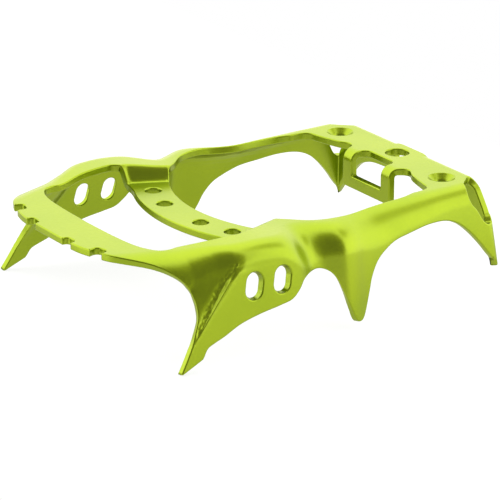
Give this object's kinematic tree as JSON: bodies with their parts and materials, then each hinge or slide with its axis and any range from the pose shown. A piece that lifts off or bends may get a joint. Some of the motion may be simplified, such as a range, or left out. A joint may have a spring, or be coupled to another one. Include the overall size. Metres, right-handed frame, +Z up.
{
  "type": "crampon front section",
  "caption": "One-piece aluminium front section of a crampon: notched toe plate, side rails with slotted ears, dropped bridge, link bracket and downward points.",
  "frame": {"origin": "centre of the bounding box's base, between the feet of the points", "axes": "+X to the wearer's right across the foot, +Y from toe to heel, +Z up out of the snow, normal to the plates"},
  "size_m": [0.1062, 0.1366, 0.0334],
  "materials": {
    "lime_anodised": "satin anodised, lime green"
  },
  "bodies": {
    "root": {"toe_plate": "lime_anodised", "bridge": "lime_anodised", "left_bridge_step": "lime_anodised", "right_bridge_step": "lime_anodised", "rear_plate": "lime_anodised", "link_bracket": "lime_anodised", "left_front_rail": "lime_anodised", "right_front_rail": "lime_anodised", "left_rear_rail": "lime_anodised", "right_rear_rail": "lime_anodised", "left_ear": "lime_anodised", "right_ear": "lime_anodised", "left_front_point": "lime_anodised", "right_front_point": "lime_anodised", "left_toe_gusset": "lime_anodised", "right_toe_gusset": "lime_anodised", "left_mid_point": "lime_anodised", "right_mid_point": "lime_anodised", "left_rear_point": "lime_anodised", "right_rear_point": "lime_anodised", "left_rear_gusset": "lime_anodised", "right_rear_gusset": "lime_anodised"}
  },
  "joints": []
}
